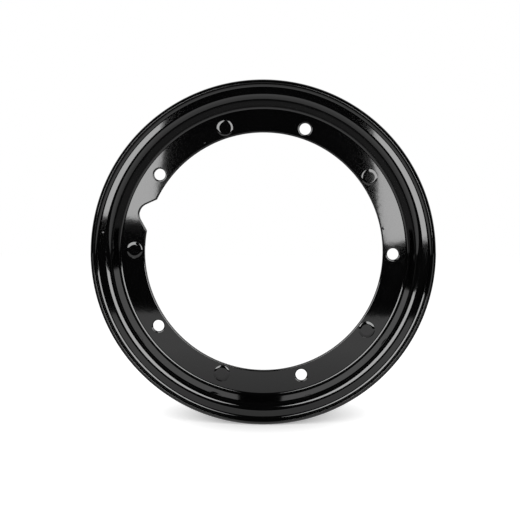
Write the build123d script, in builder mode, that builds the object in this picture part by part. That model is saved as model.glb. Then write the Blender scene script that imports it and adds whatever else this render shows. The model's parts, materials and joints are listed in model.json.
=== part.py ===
import os
from math import cos, radians, sin, tan

from build123d import *

os.makedirs("parts", exist_ok=True)

# The rim stands upright: it spins about Y, its outboard side faces -Y and its middle is the origin.
# Contour that the tyre meets, the same on both halves
seat_diameter = 253.2  # bead seat, where wall and flange meet
rim_width = 53.3  # between the two flanges, on the tyre side
flange_height = 13.4  # from the bead seat to the top of the lip
heel_radius = 4.7  # tyre side of the bend from wall to flange
lip_radius = 6.2  # tyre side of the rolled lip
lip_turn = 150.0  # degrees that the lip is rolled away from the tyre
lip_edge_radius = 0.4  # on the cut edge of the sheet

# Pressed sheet and the plane where the two halves meet
sheet = 2.5
split_offset = 9.0  # meeting plane, outboard of the middle of the rim
wall_rise = 4.95  # that a wall opens out between the web and its bead seat
web_bend_radius = 2.8  # inside the bend from web to wall

# Inner half: a straight well, then a ramp up to a slightly coned bead seat
well_end = 10.5  # inboard of the middle of the rim
ramp_length = 6.0
ramp_bend_radius = 6.0
seat_cone = 5.0  # degrees
valve_hole_diameter = 8.8

# Openings punched through both webs, at angles seen from outboard
web_margin = 14.35  # from the circle of holes out to the wall
bore_margin = 8.5  # from the circle of holes in to the bore
fastener_count = 5
bolt_hole_diameter = 9.5
bolt_angle = 71.2
punch_roll = 1.2  # rounding left on the side that the punch enters
notch_angle = 161.7
notch_depth = 9.5
notch_spread = 85.0  # degrees between the flanks
notch_radius = 9.0
notch_mouth_radius = 1.5

# Clamp studs that hold the halves together, each with a spring washer and a nut
stud_diameter = 8.0
stud_hole_clearance = 0.4
stud_end_chamfer = 0.8
head_overhang = 2.7  # of the stud head beyond its shank
head_edge = 2.4  # band of the head that is rounded off
head_rise = 0.6
head_seat_depth = 0.9
head_seat_clearance = 0.3
thread_proud = 2.3
thread_clearance = 0.2
washer_overhang = 0.9  # of the washer beyond the flats of its nut
washer_thickness = 2.0
washer_slit = 1.0
nut_wall = 2.5  # between the stud and the flats of its nut
nut_height = 6.5
nut_chamfer_angle = 30.0
nut_countersink = 0.5

# Sizes that follow from these
seat_radius = seat_diameter / 2
lip_centre_radius = seat_radius + flange_height - lip_radius
flange_plane = rim_width / 2
well_radius = seat_radius - wall_rise
web_corner_radius = web_bend_radius + sheet
fastener_radius = well_radius - web_margin
bore_radius = fastener_radius - bore_margin
ramp_end = well_end + ramp_length
coned_radius = seat_radius - (flange_plane - ramp_end) * tan(radians(seat_cone))
valve_plane = (well_end + web_corner_radius - split_offset) / 2
stud_angle = bolt_angle + 180 / fastener_count
stud_hole_radius = (stud_diameter + stud_hole_clearance) / 2
head_diameter = stud_diameter + 2 * head_overhang
nut_flats = stud_diameter + 2 * nut_wall
washer_diameter = nut_flats + 2 * washer_overhang
nut_bore_radius = (stud_diameter + thread_clearance) / 2
washer_seat = -2 * sheet
nut_seat = washer_seat - washer_thickness
stud_end = nut_seat - nut_height - thread_proud

meeting_plane = Plane.XZ.offset(split_offset)
web_front = meeting_plane.offset(sheet)


def rolled_section(corners, bends, turn):
    # Section of one half with X out from the axle and Y along it: its corners are on the tyre side
    with BuildSketch() as section:
        with BuildLine():
            run = FilletPolyline(*corners, radius=bends)
            lip = JernArc(run @ 1, run % 1, lip_radius, turn * lip_turn)
            offset(amount=sheet, side=Side.LEFT if turn > 0 else Side.RIGHT)
        make_face()
        fillet(section.vertices().sort_by_distance(lip @ 1)[:2], lip_edge_radius)
    return section.sketch


# Bore with its valve notch, drawn with the notch along +X
flank = radians(notch_spread / 2)
notch_apex = bore_radius + notch_depth + notch_radius * (1 / sin(flank) - 1)
flank_foot = (notch_apex * sin(flank) ** 2, notch_apex * sin(flank) * cos(flank))
with BuildSketch() as notched_bore:
    Circle(bore_radius)
    with BuildLine():
        flanks = FilletPolyline(
            (flank_foot[0], -flank_foot[1]), (notch_apex, 0), flank_foot, radius=notch_radius
        )
        Line(flanks @ 1, flanks @ 0)
    make_face()
    fillet(notched_bore.vertices().group_by(Axis.X)[0], notch_mouth_radius)

# Everything that is punched through both webs at once
with BuildSketch(meeting_plane) as web_openings:
    add(notched_bore.sketch, rotation=notch_angle)
    with PolarLocations(fastener_radius, fastener_count, start_angle=bolt_angle):
        Circle(bolt_hole_diameter / 2)

# Outer half: web, drawn wall, flange and lip, with seats for the stud heads
outer_corners = [
    (0, -split_offset),
    (well_radius, -split_offset),
    (seat_radius, -flange_plane),
    (lip_centre_radius, -flange_plane),
]
with BuildPart() as outer_half_rim:
    revolve(rolled_section(outer_corners, [web_corner_radius, heel_radius], -1), axis=Axis.Y)
    extrude(web_openings.sketch, amount=sheet, both=True, mode=Mode.SUBTRACT)
    visible_web = outer_half_rim.faces().filter_by(Axis.Y).sort_by(Axis.Y)[-2]
    fillet(visible_web.inner_wires().edges(), punch_roll)
    with Locations(web_front):
        with PolarLocations(fastener_radius, fastener_count, start_angle=stud_angle):
            CounterBoreHole(stud_hole_radius, (head_diameter + head_seat_clearance) / 2, head_seat_depth)
outer_half_rim.part.label = "outer_half_rim"
export_step(outer_half_rim.part, "parts/outer_half_rim.step")

# Inner half: web, well, ramp, bead seat, flange and lip, with the valve hole behind the notch
inner_corners = [
    (0, -split_offset),
    (well_radius, -split_offset),
    (well_radius, well_end),
    (coned_radius, ramp_end),
    (seat_radius, flange_plane),
    (lip_centre_radius, flange_plane),
]
inner_bends = [web_corner_radius, ramp_bend_radius, ramp_bend_radius, heel_radius]
valve_direction = (cos(radians(notch_angle)), 0, sin(radians(notch_angle)))
with BuildPart() as inner_half_rim:
    revolve(rolled_section(inner_corners, inner_bends, 1), axis=Axis.Y)
    extrude(web_openings.sketch, amount=sheet, both=True, mode=Mode.SUBTRACT)
    drum_face = inner_half_rim.faces().filter_by(Axis.Y).sort_by(Axis.Y)[1]
    fillet(drum_face.inner_wires().edges(), punch_roll)
    with BuildSketch(meeting_plane):
        with PolarLocations(fastener_radius, fastener_count, start_angle=stud_angle):
            Circle(stud_hole_radius)
    extrude(amount=-sheet, mode=Mode.SUBTRACT)
    with BuildSketch(Plane((0, valve_plane, 0), x_dir=(0, 1, 0), z_dir=valve_direction)):
        Circle(valve_hole_diameter / 2)
    extrude(amount=seat_radius, mode=Mode.SUBTRACT)
inner_half_rim.part.label = "inner_half_rim"
export_step(inner_half_rim.part, "parts/inner_half_rim.step")

# One stud, with Z out of the visible web face: a low head with a softly rounded edge
with BuildPart() as stud:
    with BuildSketch(Plane.XZ):
        with BuildLine():
            crown = Line((0, head_rise), (head_diameter / 2 - head_edge, head_rise))
            edge = TangentArc(crown @ 1, (head_diameter / 2, 0), tangent=crown % 1)
            Polyline(
                edge @ 1,
                (head_diameter / 2, -head_seat_depth),
                (stud_diameter / 2, -head_seat_depth),
                (stud_diameter / 2, stud_end + stud_end_chamfer),
                (stud_diameter / 2 - stud_end_chamfer, stud_end),
                (0, stud_end),
                crown @ 0,
            )
        make_face()
    revolve(axis=Axis.Z)

# One spring washer, pressed flat, with its slit
with BuildPart() as washer:
    with BuildSketch(Plane.XY.offset(nut_seat)):
        Circle(washer_diameter / 2)
        Circle(stud_hole_radius, mode=Mode.SUBTRACT)
        with Locations((washer_diameter / 2, 0)):
            Rectangle(washer_diameter, washer_slit, mode=Mode.SUBTRACT)
    extrude(amount=washer_thickness)

# One nut: a hexagon bar trimmed by a turned blank, which chamfers its corners and opens its bore
corner_radius = nut_flats / 2 / cos(radians(30))
corner_trim = (corner_radius - nut_flats / 2) * tan(radians(nut_chamfer_angle))
bore_edge = nut_bore_radius + nut_countersink
nut_end = nut_seat - nut_height
with BuildPart() as nut:
    with BuildSketch(Plane.XY.offset(nut_end)):
        RegularPolygon(nut_flats / 2, 6, major_radius=False, rotation=30)
    extrude(amount=nut_height)
    with BuildSketch(Plane.XZ):
        with BuildLine():
            Polyline(
                (bore_edge, nut_end),
                (nut_flats / 2, nut_end),
                (corner_radius, nut_end + corner_trim),
                (corner_radius, nut_seat - corner_trim),
                (nut_flats / 2, nut_seat),
                (bore_edge, nut_seat),
                (nut_bore_radius, nut_seat - nut_countersink),
                (nut_bore_radius, nut_end + nut_countersink),
                close=True,
            )
        make_face()
    revolve(axis=Axis.Z, mode=Mode.INTERSECT)

for name, fastener in {"clamp_studs": stud, "spring_washers": washer, "clamp_nuts": nut}.items():
    with BuildPart() as fastener_ring:
        with Locations(web_front):
            with PolarLocations(fastener_radius, fastener_count, start_angle=stud_angle):
                add(fastener.part)
    fastener_ring.part.label = name
    export_step(fastener_ring.part, f"parts/{name}.step")
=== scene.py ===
import json
import math

import bpy
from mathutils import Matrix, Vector
from mathutils.geometry import delaunay_2d_cdt


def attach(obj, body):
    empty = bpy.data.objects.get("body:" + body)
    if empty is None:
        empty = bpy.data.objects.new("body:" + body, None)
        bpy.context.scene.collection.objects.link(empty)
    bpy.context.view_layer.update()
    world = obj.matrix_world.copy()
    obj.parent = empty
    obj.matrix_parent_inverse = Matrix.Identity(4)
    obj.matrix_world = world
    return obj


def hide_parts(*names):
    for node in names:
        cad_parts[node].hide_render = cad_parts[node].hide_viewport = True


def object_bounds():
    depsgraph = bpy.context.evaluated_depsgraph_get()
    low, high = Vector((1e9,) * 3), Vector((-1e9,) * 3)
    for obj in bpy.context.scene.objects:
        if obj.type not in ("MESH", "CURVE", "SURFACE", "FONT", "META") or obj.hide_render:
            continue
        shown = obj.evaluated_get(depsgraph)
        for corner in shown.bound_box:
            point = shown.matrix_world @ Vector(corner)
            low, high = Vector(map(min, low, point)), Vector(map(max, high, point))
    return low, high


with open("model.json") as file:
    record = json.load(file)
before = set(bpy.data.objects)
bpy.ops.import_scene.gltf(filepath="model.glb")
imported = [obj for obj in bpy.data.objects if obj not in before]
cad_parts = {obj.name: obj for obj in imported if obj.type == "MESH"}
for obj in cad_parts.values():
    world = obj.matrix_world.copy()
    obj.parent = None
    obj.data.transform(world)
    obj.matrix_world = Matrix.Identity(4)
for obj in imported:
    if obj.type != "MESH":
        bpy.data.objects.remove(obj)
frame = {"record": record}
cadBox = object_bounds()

mm = 0.001  # pieces are drawn in millimetres and built in metres
columns = 360  # steps round the axle
bendStep = 5.0  # degrees between points of a bend
mounts = {mount["name"]: mount for mount in frame["record"]["mounts"]}

rim = {  # pressed sheet, as the solids have it
    "sheet": 2.5,
    "seatRadius": 126.6,
    "wallRise": 4.95,
    "flangeHeight": 13.4,
    "flangePlane": 26.65,
    "heelRadius": 4.7,
    "lipRadius": 6.2,
    "lipTurn": 150.0,
    "lipEdge": 0.4,
    "meetY": -9.0,
    "webCorner": 5.3,
    "wellEnd": 10.5,
    "rampLength": 6.0,
    "rampBend": 6.0,
    "seatCone": 5.0,
    "punchRoll": 1.2,
    "boreRadius": mounts["hub_bore"]["dims"]["r_mm"],
    "fastenerRadius": mounts["drum_bolts"]["dims"]["pcd_mm"] / 2,
    "boltRadius": mounts["drum_bolts"]["dims"]["hole_r_mm"],
    "fastenerCount": mounts["drum_bolts"]["dims"]["count"],
    "boltAngle": 71.2,
    "notchAngle": 161.7,
    "notchDepth": 9.5,
    "notchSpread": 85.0,
    "notchRadius": 9.0,
    "notchMouth": 1.5,
    "valveRadius": mounts["valve_hole"]["dims"]["r_mm"],
    "valveY": mounts["valve_hole"]["pos_m"][1] / mm,
}
rim["wellRadius"] = rim["seatRadius"] - rim["wallRise"]
rim["lipCentre"] = rim["seatRadius"] + rim["flangeHeight"] - rim["lipRadius"]
rim["studAngle"] = rim["boltAngle"] + 180 / rim["fastenerCount"]

fastener = {  # one stud with its washer and nut
    "studRadius": 4.0,
    "holeRadius": 4.2,
    "headRadius": 6.7,
    "headFlat": 4.3,
    "headRise": 0.4,
    "seatRadius": 6.85,
    "seatDepth": 0.9,
    "threadPitch": 1.25,
    "threadDepth": 0.6,
    "threadProud": 2.3,
    "endChamfer": 0.8,
    "washerRadius": 7.4,
    "washerHeight": 2.0,
    "washerSlit": 1.0,
    "washerEdge": 0.25,
    "nutFlats": 13.0,
    "nutHeight": 6.5,
    "nutBore": 4.1,
    "nutSink": 0.5,
    "nutChamfer": 30.0,
}


webFace = rim["meetY"] - rim["sheet"]
turnAngles = [7.5 * i for i in range(48)]
threadTop = -2 * rim["sheet"]
threadRows = 56
threadStep = 0.05
studEnd = threadTop - fastener["washerHeight"] - fastener["nutHeight"] - fastener["threadProud"]


class Shell:  # faces whose corners carry their own normals, so bends shade as true curves
    def __init__(self):
        self.points, self.faces, self.normals, self.paints = [], [], [], []
        self.index = {}

    def place(self, point):
        key = tuple(round(c * 2000) for c in point)
        if key not in self.index:
            self.index[key] = len(self.points)
            self.points.append(Vector(point) * mm)
        return self.index[key]

    def face(self, corners, paint=0):
        kept = []
        for point, normal in corners:
            spot = self.place(point)
            if spot not in [k[0] for k in kept]:
                kept.append((spot, normal))
        if len(kept) < 3:
            return
        a, b, c = (self.points[k[0]] for k in kept[:3])
        facing = sum((Vector(k[1]) for k in kept), Vector())
        if (b - a).cross(c - a).dot(facing) < 0:
            kept.reverse()
        self.faces.append([k[0] for k in kept])
        self.normals.extend(Vector(k[1]).normalized() for k in kept)
        self.paints.append(paint)

    def strip(self, rows, closed=True, paint=0):  # rows of (point, normal), one row per loop
        for low, high in zip(rows, rows[1:]):
            count = len(low)
            for i in range(count if closed else count - 1):
                j = (i + 1) % count
                self.face([low[i], low[j], high[j], high[i]], paint)

    def build(self, name, *materials):
        mesh = bpy.data.meshes.new(name)
        mesh.from_pydata(self.points, [], self.faces)
        mesh.polygons.foreach_set("use_smooth", [True] * len(self.faces))
        mesh.polygons.foreach_set("material_index", self.paints)
        mesh.normals_split_custom_set([tuple(n) for n in self.normals])
        for material in materials:
            mesh.materials.append(material)
        piece = bpy.data.objects.new(name, mesh)
        bpy.context.scene.collection.objects.link(piece)
        return piece


def leftOf(d):
    return (-d[1], d[0])


def heading(angle):
    return (math.cos(math.radians(angle)), math.sin(math.radians(angle)))


def bentPath(corners, bends, lipTurn, lipTrim, turn, depth):
    # one side of a pressed half as (point, normal), X out from the axle and Y along it
    # depth 0 is the tyre side, depth sheet the open side: both have the same bend centres
    path = []

    def add(point, angle):
        side = leftOf(heading(angle))
        normal = (-turn * side[0], -turn * side[1])
        shifted = (point[0] - normal[0] * depth, point[1] - normal[1] * depth)
        path.append((shifted, normal if depth == 0 else (-normal[0], -normal[1])))

    def arc(start, angle, sweep, radius):
        bendSide = 1 if sweep > 0 else -1
        side = leftOf(heading(angle))
        centre = (start[0] + bendSide * side[0] * radius, start[1] + bendSide * side[1] * radius)
        steps = max(2, math.ceil(abs(sweep) / bendStep))
        for i in range(steps + 1):
            now = angle + sweep * i / steps
            out = leftOf(heading(now))
            add((centre[0] - bendSide * out[0] * radius, centre[1] - bendSide * out[1] * radius), now)

    angles = [math.degrees(math.atan2(b[1] - a[1], b[0] - a[0])) for a, b in zip(corners, corners[1:])]
    for corner, bend, before, after in zip(corners[1:], bends, angles, angles[1:]):
        sweep = after - before
        reach = bend * math.tan(math.radians(abs(sweep) / 2))
        along = heading(before)
        arc((corner[0] - along[0] * reach, corner[1] - along[1] * reach), before, sweep, bend)
    arc(corners[-1], angles[-1], turn * (lipTurn - lipTrim), rim["lipRadius"])
    return path


def lipEdge(turn, flangeY):  # rounded cut edge of the sheet, from tyre side to open side
    centre = (rim["lipCentre"], flangeY + turn * rim["lipRadius"])
    edge = rim["lipEdge"]
    inner = rim["lipRadius"] - rim["sheet"]
    trims = [math.degrees(math.asin(edge / (rim["lipRadius"] - edge))),
             math.degrees(math.asin(edge / (inner + edge)))]
    end = rim["lipTurn"]

    def out(turned):  # away from the centre of the lip after this much turn
        return (math.sin(math.radians(turned)), -turn * math.cos(math.radians(turned)))

    path = []
    for trim, radius, first, last in (
        (trims[0], rim["lipRadius"] - edge, end - trims[0], end + 90),
        (trims[1], inner + edge, end + 90, end + 180 - trims[1]),
    ):
        spot = out(end - trim)
        for i in range(6):
            normal = out(first + (last - first) * i / 5)
            path.append(((centre[0] + spot[0] * radius + normal[0] * edge,
                          centre[1] + spot[1] * radius + normal[1] * edge), normal))
    return path, trims


def wrapped(path, angle):  # a section point carried round the axle
    (r, y), (nr, ny) = path
    c, s = heading(angle)
    return (r * c, y, r * s), (nr * c, ny, nr * s)


def ring(radius, steps=columns, centre=(0, 0)):  # loop of (spot, direction out of the middle)
    loop = []
    for i in range(steps):
        c, s = heading(360 * i / steps)
        loop.append(((centre[0] + radius * c, centre[1] + radius * s), (c, s)))
    return loop


def notchedBore():  # loop of (spot, direction into the metal), with the valve notch
    flank = rim["notchSpread"] / 2
    bore, radius, mouth = rim["boreRadius"], rim["notchRadius"], rim["notchMouth"]
    floor = bore + rim["notchDepth"] - radius  # centre of the notch's round floor
    loop = []
    # mouth corners: circles of radius mouth inside the metal, touching the bore and a flank
    c, s = heading(90 - flank)  # into the metal from the upper flank
    lift = radius + mouth
    reach = bore + mouth
    middle = floor * c + lift
    along = -math.sqrt(reach ** 2 - middle ** 2)
    corner = (middle * c - along * s, middle * s + along * c)
    cornerAngle = math.degrees(math.atan2(corner[1], corner[0]))

    def sweep(centre, size, first, last, sign, steps):
        for i in range(steps):
            d = heading(first + (last - first) * i / steps)
            spot = (centre[0] + size * d[0], centre[1] + size * d[1])
            loop.append((spot, (sign * d[0], sign * d[1])))

    flankAngle = 90 - flank
    sweep((floor, 0), radius, -flankAngle, flankAngle, 1, 24)
    sweep(corner, mouth, flankAngle - 180, cornerAngle - 180, -1, 8)
    sweep((0, 0), bore, cornerAngle, 360 - cornerAngle, 1, columns)
    sweep((corner[0], -corner[1]), mouth, 180 - cornerAngle, 180 - flankAngle, -1, 8)
    c, s = heading(rim["notchAngle"])
    return [((x * c - y * s, x * s + y * c), (nx * c - ny * s, nx * s + ny * c))
            for (x, y), (nx, ny) in loop]


def plate(shell, y, facing, outline, holes, inside):  # flat face with holes
    spots, edges = [], []
    for loop in [outline] + holes:
        first = len(spots)
        spots.extend(Vector(p) for p in loop)
        edges.extend((first + i, first + (i + 1) % len(loop)) for i in range(len(loop)))
    corners, _, triangles, *_ = delaunay_2d_cdt(spots, edges, [], 1, 1e-5)
    for triangle in triangles:
        middle = sum((corners[i] for i in triangle), Vector((0, 0))) / 3
        if inside(middle):
            shell.face([((corners[i].x, y, corners[i].y), (0, facing, 0)) for i in triangle])


def shifted(loop, amount):
    return [(p[0] + n[0] * amount, p[1] + n[1] * amount) for p, n in loop]


def wall(shell, loop, yFace, yBack, facing, roll):  # side of an opening, rounded by the punch at its face
    rows = []
    steps = 6 if roll else 0
    for i in range(steps + 1):
        c, s = heading(90 * i / steps if steps else 90)
        depth = yFace - facing * roll * (1 - c)
        rows.append([((p[0], depth, p[1]), (-n[0] * s, facing * c, -n[1] * s))
                     for p, n in zip(shifted(loop, roll * (1 - s)), [n for _, n in loop])])
    rows.append([((p[0], yBack, p[1]), (-n[0], 0, -n[1])) for p, n in loop])
    shell.strip(rows)


def halfRim(name, turn, material):
    # turn -1 is the outer half, which opens towards -Y, and 1 the inner half
    shell = Shell()
    meet = rim["meetY"]
    faceY = meet + turn * rim["sheet"]
    flangeY = turn * rim["flangePlane"]
    well, seat = rim["wellRadius"], rim["seatRadius"]
    corners = [(0, meet), (well, meet)]
    bends = [rim["webCorner"]]
    if turn > 0:
        rampEnd = rim["wellEnd"] + rim["rampLength"]
        coned = seat - (flangeY - rampEnd) * math.tan(math.radians(rim["seatCone"]))
        corners += [(well, rim["wellEnd"]), (coned, rampEnd)]
        bends += [rim["rampBend"]] * 2
    corners += [(seat, flangeY), (rim["lipCentre"], flangeY)]
    bends.append(rim["heelRadius"])
    edge, trims = lipEdge(turn, flangeY)
    tyreSide = bentPath(corners, bends, rim["lipTurn"], trims[0], turn, 0)
    openSide = bentPath(corners, bends, rim["lipTurn"], trims[1], turn, rim["sheet"])
    section = tyreSide + edge + openSide[::-1]
    turns = [360 * i / columns for i in range(columns)]
    window = valveWindow(section) if turn > 0 else {}
    for step, (low, high) in enumerate(zip(section, section[1:])):
        for i in range(columns):
            if step in window and i in window[step]:
                continue
            a, b = turns[i], turns[(i + 1) % columns]
            shell.face([wrapped(low, a), wrapped(low, b), wrapped(high, b), wrapped(high, a)])
    if turn > 0:
        valveHole(shell, section, window, turns)
    webOpenings(shell, turn, faceY, meet, section)
    return shell.build(name, material)


def webOpenings(shell, turn, faceY, meet, section):
    bore = notchedBore()
    count, spread = rim["fastenerCount"], 360 / rim["fastenerCount"]
    circles = {}
    for kind, start in (("bolt", rim["boltAngle"]), ("stud", rim["studAngle"])):
        circles[kind] = [tuple(rim["fastenerRadius"] * c for c in heading(start + spread * i))
                         for i in range(count)]
    roll = rim["punchRoll"]
    boltLoops = [ring(rim["boltRadius"], 64, spot) for spot in circles["bolt"]]
    seated = turn < 0
    studSize = fastener["seatRadius"] if seated else fastener["holeRadius"]
    studLoops = [ring(studSize, 64, spot) for spot in circles["stud"]]
    holeLoops = [ring(fastener["holeRadius"], 64, spot) for spot in circles["stud"]]

    def clear(loop, grow, boltSize, studRadius):
        limits = sorted((math.atan2(y, x), math.hypot(x, y)) for x, y in shifted(loop, grow))

        def inside(p):
            angle = math.atan2(p.y, p.x)
            near = min(limits, key=lambda limit: abs(limit[0] - angle))
            if p.length < near[1] - 0.01:
                return False
            if any((p - Vector(c)).length < boltSize for c in circles["bolt"]):
                return False
            return not any((p - Vector(c)).length < studRadius for c in circles["stud"])
        return inside

    faceRadius, meetRadius = section[-1][0][0], section[0][0][0]
    outline = [p for p, _ in ring(faceRadius)]
    plate(shell, faceY, turn, outline,
          [shifted(loop, roll) for loop in [bore] + boltLoops] + [shifted(loop, 0) for loop in studLoops],
          clear(bore, roll, rim["boltRadius"] + roll, studSize))
    outline = [p for p, _ in ring(meetRadius)]
    plate(shell, meet, -turn, outline, [shifted(loop, 0) for loop in [bore] + boltLoops + holeLoops],
          clear(bore, 0, rim["boltRadius"], fastener["holeRadius"]))
    for loop in [bore] + boltLoops:
        wall(shell, loop, faceY, meet, turn, roll)
    for outer, inner in zip(studLoops, holeLoops):
        if seated:
            floorY = faceY - turn * fastener["seatDepth"]
            wall(shell, outer, faceY, floorY, turn, 0)
            shell.strip([[((p[0], floorY, p[1]), (0, turn, 0)) for p, _ in loop] for loop in (outer, inner)])
            wall(shell, inner, floorY, meet, turn, 0)
        else:
            wall(shell, inner, faceY, meet, turn, 0)


def valveWindow(section):  # columns left open in the straight well, where the valve hole is cut
    half = math.degrees((rim["valveRadius"] + 2) / rim["wellRadius"])
    first = math.floor((rim["notchAngle"] - half) / 360 * columns)
    last = math.ceil((rim["notchAngle"] + half) / 360 * columns)
    window = {}
    for step, (low, high) in enumerate(zip(section, section[1:])):
        straight = abs(low[0][0] - high[0][0]) < 1e-6
        if straight and min(low[0][1], high[0][1]) < rim["valveY"] < max(low[0][1], high[0][1]):
            window[step] = range(first, last)
    return window


def valveHole(shell, section, window, turns):
    rows = []
    for step, gap in window.items():
        low, high = sorted((section[step], section[step + 1]), key=lambda s: s[0][1])
        radius, facing = low[0][0], low[1][0]
        middle = math.radians(rim["notchAngle"])

        def onWell(spot):
            angle = math.degrees(middle + spot[0] / radius)
            return wrapped(((radius, spot[1]), (facing, 0)), angle)

        offsets = [(math.radians(turns[i]) - middle) * radius for i in range(gap.start, gap.stop + 1)]
        outline = [(s, low[0][1]) for s in offsets] + [(s, high[0][1]) for s in offsets[::-1]]
        hole = []
        for p, _ in ring(rim["valveRadius"], 48):  # true circle seen along the valve
            hole.append((radius * math.asin(p[0] / radius), rim["valveY"] + p[1]))
        spots = [Vector(p) for p in outline + hole]
        edges = [(i, (i + 1) % len(outline)) for i in range(len(outline))]
        edges += [(len(outline) + i, len(outline) + (i + 1) % len(hole)) for i in range(len(hole))]
        found, _, triangles, *_ = delaunay_2d_cdt(spots, edges, [], 1, 1e-5)
        for triangle in triangles:
            centre = sum((found[i] for i in triangle), Vector((0, 0))) / 3
            if math.hypot(centre.x, centre.y - rim["valveY"]) > rim["valveRadius"] - 0.02:
                shell.face([onWell(found[i]) for i in triangle])
        c, s = heading(rim["notchAngle"])
        rows.append([(onWell(spot)[0], (s * p[0], -p[1], -c * p[0]))
                     for spot, (p, _) in zip(hole, ring(rim["valveRadius"], 48))])
    shell.strip(rows)


def around(spot, section, angle):  # a section point (radius, height above the web) carried round a stud
    (r, z), (nr, nz) = section
    c, s = heading(angle)
    return (spot[0] + r * c, webFace - z, spot[1] + r * s), (nr * c, -nz, nr * s)


def lathe(shell, spot, run, paint=0):
    shell.strip([[around(spot, section, a) for a in turnAngles] for section in run], True, paint)


def threadRadius(z, angle):
    ridge = (z / fastener["threadPitch"] + angle / 360) % 1
    radius = fastener["studRadius"] - fastener["threadDepth"] * abs(2 * ridge - 1)
    return min(radius, fastener["studRadius"] - fastener["endChamfer"] + z - studEnd)


def stud(shell, spot, angle):  # painted head, zinc thread
    flat, rise, size = fastener["headFlat"], fastener["headRise"], fastener["headRadius"]
    bend = ((size - flat) ** 2 + rise ** 2) / (2 * rise)
    sweep = math.degrees(math.asin((size - flat) / bend))
    crown = [((0, rise), (0, 1))]
    for i in range(9):
        c, s = heading(sweep * i / 8)
        crown.append(((flat + bend * s, rise - bend * (1 - c)), (s, c)))
    lathe(shell, spot, crown)
    under = -fastener["seatDepth"]
    lathe(shell, spot, [((size, 0), (1, 0)), ((size, under), (1, 0))])
    lathe(shell, spot, [((size, under), (0, -1)), ((fastener["studRadius"], under), (0, -1))])
    lathe(shell, spot, [((fastener["studRadius"], z), (1, 0)) for z in (under, threadTop)], 1)
    rows = []
    for k in range(threadRows + 1):
        z = threadTop + (studEnd - threadTop) * k / threadRows
        row = []
        for a in turnAngles:
            slope = (threadRadius(z + threadStep, a) - threadRadius(z - threadStep, a)) / (2 * threadStep)
            row.append(around(spot, ((threadRadius(z, a), z), (1, -slope)), a + angle))
        rows.append(row)
    shell.strip(rows, True, 1)
    shell.strip([[around(spot, ((size * threadRadius(studEnd, a), studEnd), (0, -1)), a + angle) for a in turnAngles]
                 for size in (1, 0)], True, 1)


def springWasher(shell, spot, angle):  # bevelled ring with its slit towards the wall
    low, high = fastener["holeRadius"], fastener["washerRadius"]
    top, edge = -2 * rim["sheet"], fastener["washerEdge"]
    base = top - fastener["washerHeight"]
    loop = [(low + edge, top), (high - edge, top), (high, top - edge), (high, base + edge),
            (high - edge, base), (low + edge, base), (low, base + edge), (low, top - edge)]

    def turned(r, t):  # both ends of the ring keep clear of the slit
        gap = math.degrees(math.asin(fastener["washerSlit"] / 2 / r))
        return angle + gap + (360 - 2 * gap) * t

    for (r1, z1), (r2, z2) in zip(loop, loop[1:] + loop[:1]):
        normal = (z1 - z2, r2 - r1)
        shell.strip([[around(spot, ((r, z), normal), turned(r, i / 48)) for i in range(49)]
                     for r, z in ((r1, z1), (r2, z2))], False)
    for t, side in ((0, -1), (1, 1)):
        c, s = heading(angle)
        shell.face([(around(spot, ((r, z), (1, 0)), turned(r, t))[0], (-s * side, 0, c * side)) for r, z in loop])


def nut(shell, spot, angle):  # hexagon with coned ends and a countersunk bore
    half, bore, sink = fastener["nutFlats"] / 2, fastener["nutBore"], fastener["nutSink"]
    seat = -2 * rim["sheet"] - fastener["washerHeight"]
    end = seat - fastener["nutHeight"]
    cone = math.tan(math.radians(fastener["nutChamfer"]))
    c, s = heading(fastener["nutChamfer"])
    for k in range(6):
        turns = [angle + 60 * k - 30 + 7.5 * i for i in range(9)]
        reach = [half / math.cos(math.radians(t - angle - 60 * k)) for t in turns]
        n = heading(angle + 60 * k)
        side = []
        for z, way in ((seat, 1), (end, -1)):
            inner = [around(spot, ((half, z), (s, way * c)), t) for t in turns]
            outer = [around(spot, ((r, z - way * (r - half) * cone), (s, way * c)), t) for r, t in zip(reach, turns)]
            shell.strip([inner, outer], False)
            side.append([(p, (n[0], 0, n[1])) for p, _ in outer])
        shell.strip(side, False)
    for z, way in ((seat, 1), (end, -1)):
        lathe(shell, spot, [((half, z), (0, way)), ((bore + sink, z), (0, way))])
        lathe(shell, spot, [((bore + sink, z), (-1, way)), ((bore, z - way * sink), (-1, way))])
    lathe(shell, spot, [((bore, seat - sink), (-1, 0)), ((bore, end + sink), (-1, 0))])


def fastenerRing(name, maker, *materials):
    shell = Shell()
    for i in range(rim["fastenerCount"]):
        angle = rim["studAngle"] + 360 / rim["fastenerCount"] * i
        spot = tuple(rim["fastenerRadius"] * c for c in heading(angle))
        maker(shell, spot, angle)
    return shell.build(name, *materials)


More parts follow.
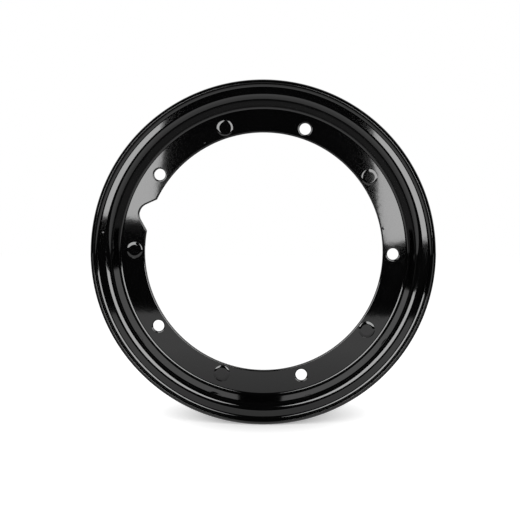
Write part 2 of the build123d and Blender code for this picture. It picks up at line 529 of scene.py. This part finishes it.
class Signal:  # wraps a node's output, so shader maths reads as arithmetic
    def __init__(self, tree, socket=None):
        self.tree, self.socket = tree, socket

    def make(self, kind, settings=None, inputs=None, output=0):
        node = self.tree.nodes.new(kind)
        for name, value in (settings or {}).items():
            if name == "stops":
                ramp = node.color_ramp.elements
                while len(ramp) < len(value):
                    ramp.new(0.5)
                for element, (spot, shade) in zip(ramp, value):
                    element.position, element.color = spot, (*shade, 1)
            else:
                setattr(node, name, value)
        for name, value in (inputs or {}).items():
            if isinstance(value, Signal):
                self.tree.links.new(value.socket, node.inputs[name])
            else:
                node.inputs[name].default_value = value
        return Signal(self.tree, node.outputs[output] if len(node.outputs) else None)

    def maths(self, operation, first, second):
        return self.make("ShaderNodeMath", {"operation": operation}, {0: first, 1: second})

    def __add__(self, other):
        return self.maths("ADD", self, other)

    def __sub__(self, other):
        return self.maths("SUBTRACT", self, other)

    def __rsub__(self, other):
        return self.maths("SUBTRACT", other, self)

    def __mul__(self, other):
        return self.maths("MULTIPLY", self, other)

    def __pow__(self, other):
        return self.maths("POWER", self, other)

    def __gt__(self, other):
        return self.maths("GREATER_THAN", self, other)

    __radd__, __rmul__ = __add__, __mul__


def newMaterial(name):
    material = bpy.data.materials.new(name)
    material.use_nodes = True
    material.node_tree.nodes.clear()
    return material, Signal(material.node_tree)


def ramp(value, low, high, first=0.0, last=1.0):
    return value.make("ShaderNodeMapRange", {}, {"Value": value, "From Min": low, "From Max": high,
                                                 "To Min": first, "To Max": last})


def noise(signal, where, scale, detail=2.0, rough=0.5):
    return signal.make("ShaderNodeTexNoise", {}, {"Vector": where, "Scale": scale, "Detail": detail,
                                                  "Roughness": rough})


blackPaint = {
    "colour": (0.0008, 0.0008, 0.0009),
    "tint": (0.0018, 0.0018, 0.0019),
    "index": 1.8,
    "rough": 0.035,
    "roughSpread": 0.03,
    "peelScale": 190.0,  # orange peel, ripples per metre
    "peelHeight": 0.6e-5,
    "waveScale": 26.0,  # waviness of the pressed sheet
    "waveHeight": 6.0e-5,
    "nibScale": 130.0,  # dust nibs under the paint
    "nibHeight": 2.5e-5,
}


def makeBlackPaint():
    material, signal = newMaterial("black_paint")
    where = signal.make("ShaderNodeTexCoord", {}, {}, "Object")
    cloud = noise(signal, where, 40.0, 4.0)
    peel = noise(signal, where, blackPaint["peelScale"], 1.0)
    wave = noise(signal, where, blackPaint["waveScale"], 1.0)
    near = signal.make("ShaderNodeTexVoronoi", {"feature": "F1"}, {"Vector": where,
                       "Scale": blackPaint["nibScale"]}, "Distance")
    rare = noise(signal, where, 17.0, 1.0) > 0.66
    nibs = (1 - near * 6.0) * rare
    nibs = signal.make("ShaderNodeClamp", {}, {"Value": nibs})
    base = signal.make("ShaderNodeMix", {"data_type": "RGBA"},
                       {"Factor": cloud, "A": (*blackPaint["colour"], 1), "B": (*blackPaint["tint"], 1)}, "Result")
    rough = cloud * blackPaint["roughSpread"] + blackPaint["rough"]
    height = peel * blackPaint["peelHeight"] + wave * blackPaint["waveHeight"] + nibs * blackPaint["nibHeight"]
    normal = signal.make("ShaderNodeBump", {}, {"Strength": 1.0, "Distance": 1.0, "Height": height}, "Normal")
    shader = signal.make("ShaderNodeBsdfPrincipled", {}, {
        "Base Color": base, "Roughness": rough, "Normal": normal, "IOR": blackPaint["index"]})
    signal.make("ShaderNodeOutputMaterial", {}, {"Surface": shader})
    return material


zincPlate = {
    "colour": (0.50, 0.49, 0.46),
    "warm": (0.56, 0.52, 0.42),
    "rough": 0.24,
    "roughSpread": 0.18,
    "grainScale": 900.0,
    "grainHeight": 6.0e-6,
}


def makeZincPlate():
    material, signal = newMaterial("zinc_plate")
    where = signal.make("ShaderNodeTexCoord", {}, {}, "Object")
    cloud = noise(signal, where, 180.0, 5.0, 0.6)
    grain = noise(signal, where, zincPlate["grainScale"], 3.0)
    base = signal.make("ShaderNodeMix", {"data_type": "RGBA"},
                       {"Factor": cloud, "A": (*zincPlate["colour"], 1), "B": (*zincPlate["warm"], 1)}, "Result")
    rough = grain * zincPlate["roughSpread"] + zincPlate["rough"]
    normal = signal.make("ShaderNodeBump", {}, {"Strength": 1.0, "Distance": 1.0,
                         "Height": grain * zincPlate["grainHeight"]}, "Normal")
    shader = signal.make("ShaderNodeBsdfPrincipled", {}, {
        "Base Color": base, "Roughness": rough, "Metallic": 1.0, "Normal": normal})
    signal.make("ShaderNodeOutputMaterial", {}, {"Surface": shader})
    return material


def dress(piece, slot, *nodes):
    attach(piece, "root")
    if nodes:
        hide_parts(*nodes)
    return piece


paint = makeBlackPaint()
zinc = makeZincPlate()
print("finishes made")
outerHalf = dress(halfRim("outer_half", -1, paint), "rim_paint", "outer_half_rim")
innerHalf = dress(halfRim("inner_half", 1, paint), "rim_paint", "inner_half_rim")
print("rim halves made", len(outerHalf.data.polygons), len(innerHalf.data.polygons))
dress(fastenerRing("studs", stud, paint, zinc), "stud_steel", "clamp_studs")
dress(fastenerRing("washers", springWasher, zinc), "washer_steel", "spring_washers")
dress(fastenerRing("nuts", nut, zinc), "nut_steel", "clamp_nuts")
print("fasteners made")

studio = {
    "lampPlane": -0.93,  # beside the camera
    "lampRadiance": 4.5,
    "rightLamp": ((0.168, -0.032), (1.08, 0.75)),  # lower and upper corners, X and Z
    "leftLamp": ((-1.10, 0.006), (-0.210, 0.77)),
    "floorFront": -1.11,
    "floorBack": 2.5,
    "floorSide": 3.0,
    "lampLean": 6.0,  # degrees that the outer ends are raised
    "floorWhite": 0.8,
    "glowNear": 0.02,  # the floor stays white to the camera away from the wheel
    "glowFar": 0.11,
    "glowLow": 0.25,
    "dark": 0.004,
    # what the floor shows in reflections is painted light: a painted reflection far off, painted shade near the
    # wheel, painted shadow behind it, cut off at a slanted front edge
    "floorMirror": 0.57,
    "floorShade": 0.34,
    "floorBehind": 0.06,
    "edgeSlant": 0.16,  # front edge of the bright floor
    "edgePlace": -0.85,
    "flag": ((-0.30, 0.02), (-1.35, 0.02), (-1.35, 0.25)),  # hides the low outer end of the left lamp
}


def makeLamp(name, low, high):  # each leans about its lower inner corner
    light = bpy.data.lights.new(name, "AREA")
    light.shape = "RECTANGLE"
    light.size, light.size_y = high[0] - low[0], high[1] - low[1]
    light.energy = studio["lampRadiance"] * math.pi * light.size * light.size_y
    lamp = bpy.data.objects.new(name, light)
    outward = 1 if low[0] > 0 else -1
    inner = low[0] if outward > 0 else high[0]
    c, s = heading(studio["lampLean"])
    across, up = outward * light.size / 2, light.size_y / 2
    lamp.location = (inner + across * c - outward * up * s, studio["lampPlane"],
                     low[1] + abs(across) * s + up * c)
    lamp.rotation_euler = (math.radians(90), math.radians(-outward * studio["lampLean"]), 0)  # faces +Y
    lamp.visible_camera = False
    bpy.context.scene.collection.objects.link(lamp)


def makeFlag():
    mesh = bpy.data.meshes.new("flag")
    mesh.from_pydata([(x, studio["lampPlane"] + 0.01, z) for x, z in studio["flag"]], [], [(0, 1, 2)])
    material, signal = newMaterial("flag_black")
    cloth = signal.make("ShaderNodeBsdfDiffuse", {}, {"Color": (*[studio["dark"]] * 3, 1)})
    signal.make("ShaderNodeOutputMaterial", {}, {"Surface": cloth})
    mesh.materials.append(material)
    flag = bpy.data.objects.new("flag", mesh)
    flag.visible_camera = False
    bpy.context.scene.collection.objects.link(flag)


def makeFloor():
    level = cadBox[0].z
    side = studio["floorSide"]
    corners = [(-side, studio["floorFront"]), (side, studio["floorFront"]),
               (side, studio["floorBack"]), (-side, studio["floorBack"])]
    mesh = bpy.data.meshes.new("floor")
    mesh.from_pydata([(x, y, 0) for x, y in corners], [], [(0, 1, 2, 3)])
    material, signal = newMaterial("floor_white")
    seen = signal.make("ShaderNodeLightPath", {}, {}, "Is Camera Ray")
    where = signal.make("ShaderNodeTexCoord", {}, {}, "Object")
    away = signal.make("ShaderNodeVectorMath", {"operation": "LENGTH"}, {0: where}, "Value")
    lift = ramp(away, studio["glowNear"], studio["glowFar"], studio["glowLow"])
    white = signal.make("ShaderNodeBsdfDiffuse", {}, {"Color": (*[studio["floorWhite"]] * 3, 1)})
    mirrored = Signal(signal.tree, seen.socket.node.outputs["Is Glossy Ray"])
    along = signal.make("ShaderNodeSeparateXYZ", {}, {"Vector": where}, "Y")
    across = Signal(signal.tree, along.socket.node.outputs["X"])
    # to reflections the floor is a painted reflection: an emission, dimmer near the wheel as painted shade and
    # almost dark behind it as painted shadow, ending at a slanted front edge
    lit = (along - across * studio["edgeSlant"]) > studio["edgePlace"]
    paintedReflection = ramp(along, -0.45, -0.05, studio["floorMirror"], studio["floorShade"])
    shadowBehind = ramp(along, -0.04, 0.02, 1.0, studio["floorBehind"])  # dark behind the wheel
    glow = signal.make("ShaderNodeEmission", {}, {"Strength": seen * lift})
    mirror = signal.make("ShaderNodeEmission", {}, {"Strength": paintedReflection * shadowBehind * lit})
    both = signal.make("ShaderNodeAddShader", {}, {0: white, 1: glow})
    both = signal.make("ShaderNodeMixShader", {}, {0: mirrored, 1: both, 2: mirror})
    signal.make("ShaderNodeOutputMaterial", {}, {"Surface": both})
    mesh.materials.append(material)
    floor = bpy.data.objects.new("floor", mesh)
    floor.location.z = level
    bpy.context.scene.collection.objects.link(floor)


def makeWorld():
    world = bpy.data.worlds.new("studio")
    world.use_nodes = True
    world.node_tree.nodes.clear()
    signal = Signal(world.node_tree)
    path = signal.make("ShaderNodeLightPath", {}, {}, "Is Camera Ray")
    node = path.socket.node
    through = Signal(signal.tree, node.outputs["Is Transmission Ray"])
    mirror = Signal(signal.tree, node.outputs["Is Glossy Ray"])
    direction = signal.make("ShaderNodeTexCoord", {}, {}, "Generated")
    behind = ramp(signal.make("ShaderNodeSeparateXYZ", {}, {"Vector": direction}, "Y"), 0.55, 0.9)
    strength = path + through + mirror * behind
    strength = signal.make("ShaderNodeMath", {"operation": "MINIMUM"}, {0: strength, 1: 1.0})
    strength = signal.make("ShaderNodeMath", {"operation": "MAXIMUM"}, {0: strength, 1: studio["dark"]})
    back = signal.make("ShaderNodeBackground", {}, {"Color": (1, 1, 1, 1), "Strength": strength})
    signal.make("ShaderNodeOutputWorld", {}, {"Surface": back})
    bpy.context.scene.world = world


camera = {
    "lens": 77.0,
    "place": (0.0302, -0.9329, 0.0456),
    "aim": (-0.0019, -0.0330, -0.0054),  # what the middle of the picture sees
}


def makeCamera():
    view = bpy.data.cameras.new("camera")
    view.lens = camera["lens"]
    view.sensor_width = 36.0
    piece = bpy.data.objects.new("camera", view)
    piece.location = camera["place"]
    line = Vector(camera["aim"]) - Vector(camera["place"])
    piece.rotation_euler = line.to_track_quat("-Z", "Y").to_euler()
    bpy.context.scene.collection.objects.link(piece)
    bpy.context.scene.camera = piece


makeLamp("right_softbox", *studio["rightLamp"])
makeLamp("left_softbox", *studio["leftLamp"])
makeFlag()
makeFloor()
makeWorld()
makeCamera()
bpy.context.scene.view_settings.view_transform = "Standard"
print("studio made")
